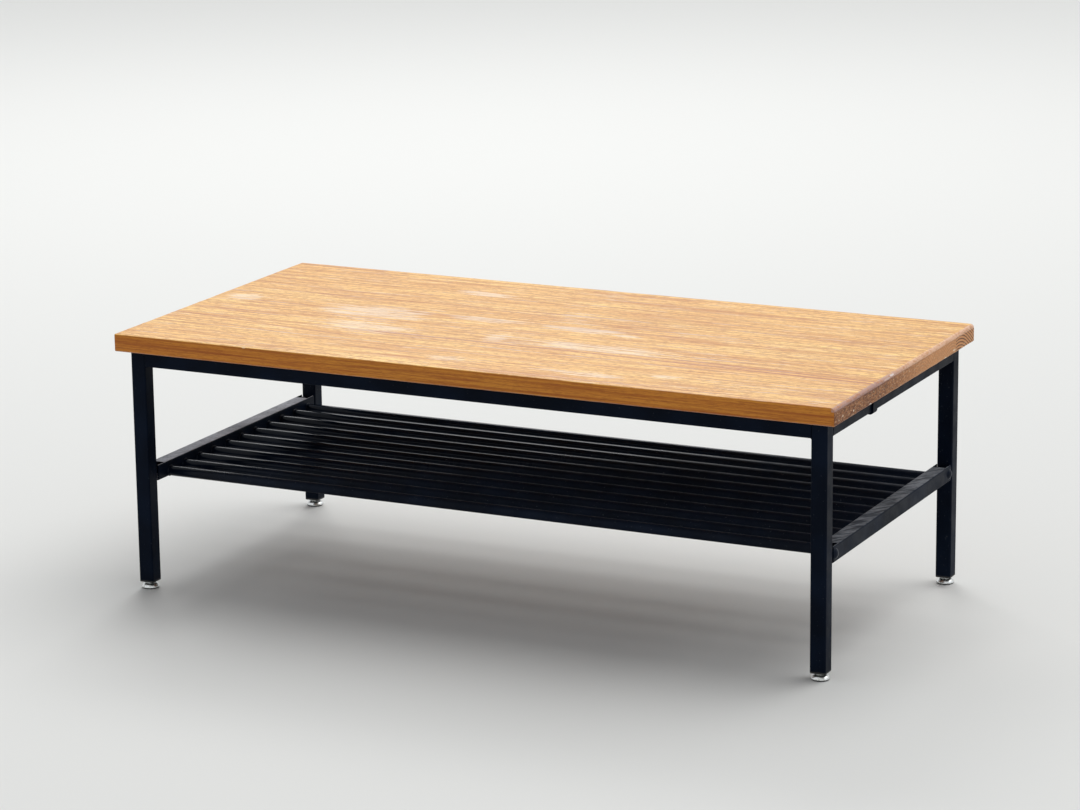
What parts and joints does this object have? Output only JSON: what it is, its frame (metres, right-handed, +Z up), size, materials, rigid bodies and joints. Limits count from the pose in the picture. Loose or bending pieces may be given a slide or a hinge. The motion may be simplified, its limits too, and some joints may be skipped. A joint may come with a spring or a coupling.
{
  "type": "coffee table",
  "caption": "Low rectangular coffee table: board top on a welded square tube frame, with a shelf of round tubes below and screw-in levelling feet.",
  "frame": {"origin": "on the floor, under the middle of the top", "axes": "+X along the table's length to its right end, +Y to its back, +Z up"},
  "size_m": [1.2, 0.59, 0.415],
  "materials": {
    "top_wood": "oiled",
    "powder_coated_steel": "satin powder coat",
    "zinc_plated_steel": "bright zinc",
    "black_plastic": "moulded"
  },
  "bodies": {
    "root": {"leg_front_left": "powder_coated_steel", "leg_front_right": "powder_coated_steel", "leg_insert_front_left": "black_plastic", "leg_insert_front_right": "black_plastic", "leg_insert_rear_left": "black_plastic", "leg_insert_rear_right": "black_plastic", "leg_rear_left": "powder_coated_steel", "leg_rear_right": "powder_coated_steel", "rail_front": "powder_coated_steel", "rail_left": "powder_coated_steel", "rail_rear": "powder_coated_steel", "rail_right": "powder_coated_steel", "shelf_bolts": "powder_coated_steel", "shelf_nuts": "powder_coated_steel", "shelf_rod_01": "powder_coated_steel", "shelf_rod_02": "powder_coated_steel", "shelf_rod_03": "powder_coated_steel", "shelf_rod_04": "powder_coated_steel", "shelf_rod_05": "powder_coated_steel", "shelf_rod_06": "powder_coated_steel", "shelf_rod_07": "powder_coated_steel", "shelf_rod_08": "powder_coated_steel", "shelf_rod_09": "powder_coated_steel", "shelf_rod_10": "powder_coated_steel", "shelf_rod_11": "powder_coated_steel", "shelf_tab_front_left": "powder_coated_steel", "shelf_tab_front_right": "powder_coated_steel", "shelf_tab_rear_left": "powder_coated_steel", "shelf_tab_rear_right": "powder_coated_steel", "shelf_tube_left": "powder_coated_steel", "shelf_tube_right": "powder_coated_steel", "top_board_1": "top_wood", "top_board_2": "top_wood", "top_board_3": "top_wood", "top_board_4": "top_wood", "top_board_5": "top_wood", "top_board_6": "top_wood", "top_board_7": "top_wood", "top_strap_left": "powder_coated_steel", "top_strap_right": "powder_coated_steel", "top_strap_screws": "zinc_plated_steel", "top_tab_front_left": "powder_coated_steel", "top_tab_front_right": "powder_coated_steel", "top_tab_rear_left": "powder_coated_steel", "top_tab_rear_right": "powder_coated_steel", "top_tab_screws": "zinc_plated_steel"},
    "foot_pad_body_front_left": {"foot_pad_front_left": "black_plastic", "foot_cup_front_left": "zinc_plated_steel"},
    "foot_stud_body_front_left": {"foot_stud_front_left": "zinc_plated_steel"},
    "foot_pad_body_front_right": {"foot_pad_front_right": "black_plastic", "foot_cup_front_right": "zinc_plated_steel"},
    "foot_stud_body_front_right": {"foot_stud_front_right": "zinc_plated_steel"},
    "foot_pad_body_rear_left": {"foot_pad_rear_left": "black_plastic", "foot_cup_rear_left": "zinc_plated_steel"},
    "foot_stud_body_rear_left": {"foot_stud_rear_left": "zinc_plated_steel"},
    "foot_pad_body_rear_right": {"foot_pad_rear_right": "black_plastic", "foot_cup_rear_right": "zinc_plated_steel"},
    "foot_stud_body_rear_right": {"foot_stud_rear_right": "zinc_plated_steel"}
  },
  "joints": [
    {"name": "foot_slide_front_left", "type": "slide", "parent": "root", "child": "foot_pad_body_front_left", "axis": [0, 0, -1], "range_m": [0, 0.01]},
    {"name": "foot_turn_front_left", "type": "hinge", "parent": "foot_pad_body_front_left", "child": "foot_stud_body_front_left", "pos_m": [-0.5695, -0.2645, 0], "axis": [0, 0, -1], "range_deg": [0, 2880]},
    {"name": "foot_slide_front_right", "type": "slide", "parent": "root", "child": "foot_pad_body_front_right", "axis": [0, 0, -1], "range_m": [0, 0.01]},
    {"name": "foot_turn_front_right", "type": "hinge", "parent": "foot_pad_body_front_right", "child": "foot_stud_body_front_right", "pos_m": [0.5695, -0.2645, 0], "axis": [0, 0, -1], "range_deg": [0, 2880]},
    {"name": "foot_slide_rear_left", "type": "slide", "parent": "root", "child": "foot_pad_body_rear_left", "axis": [0, 0, -1], "range_m": [0, 0.01]},
    {"name": "foot_turn_rear_left", "type": "hinge", "parent": "foot_pad_body_rear_left", "child": "foot_stud_body_rear_left", "pos_m": [-0.5695, 0.2645, 0], "axis": [0, 0, -1], "range_deg": [0, 2880]},
    {"name": "foot_slide_rear_right", "type": "slide", "parent": "root", "child": "foot_pad_body_rear_right", "axis": [0, 0, -1], "range_m": [0, 0.01]},
    {"name": "foot_turn_rear_right", "type": "hinge", "parent": "foot_pad_body_rear_right", "child": "foot_stud_body_rear_right", "pos_m": [0.5695, 0.2645, 0], "axis": [0, 0, -1], "range_deg": [0, 2880]}
  ],
  "couplings": [
    {"joint": "foot_slide_front_left", "follows": "foot_turn_front_left", "m_per_rad": 0.00019894},
    {"joint": "foot_slide_front_right", "follows": "foot_turn_front_right", "m_per_rad": 0.00019894},
    {"joint": "foot_slide_rear_left", "follows": "foot_turn_rear_left", "m_per_rad": 0.00019894},
    {"joint": "foot_slide_rear_right", "follows": "foot_turn_rear_right", "m_per_rad": 0.00019894}
  ]
}
